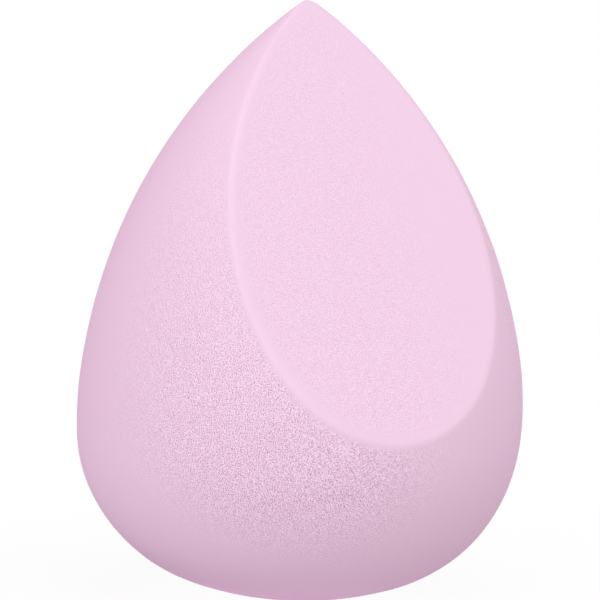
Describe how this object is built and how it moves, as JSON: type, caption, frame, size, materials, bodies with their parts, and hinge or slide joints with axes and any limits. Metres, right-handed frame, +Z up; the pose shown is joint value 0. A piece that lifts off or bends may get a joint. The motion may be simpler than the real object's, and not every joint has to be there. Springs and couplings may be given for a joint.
{
  "type": "makeup sponge",
  "caption": "Teardrop makeup sponge of soft fine-celled foam, with a pointed tip and one slanted flat cut, for pressing and blending foundation and powder onto the face.",
  "frame": {"origin": "centre of the small flat foot that the sponge stands on", "axes": "+Z up along the teardrop's centre line, towards the tip; the slanted cut faces -Y and leans back; +X to the right as the cut is looked at; the sponge is mirrored about X = 0"},
  "size_m": [0.0444, 0.0444, 0.0591],
  "materials": {
    "foam": "matte"
  },
  "bodies": {
    "root": {"sponge_body": "foam"}
  },
  "joints": []
}
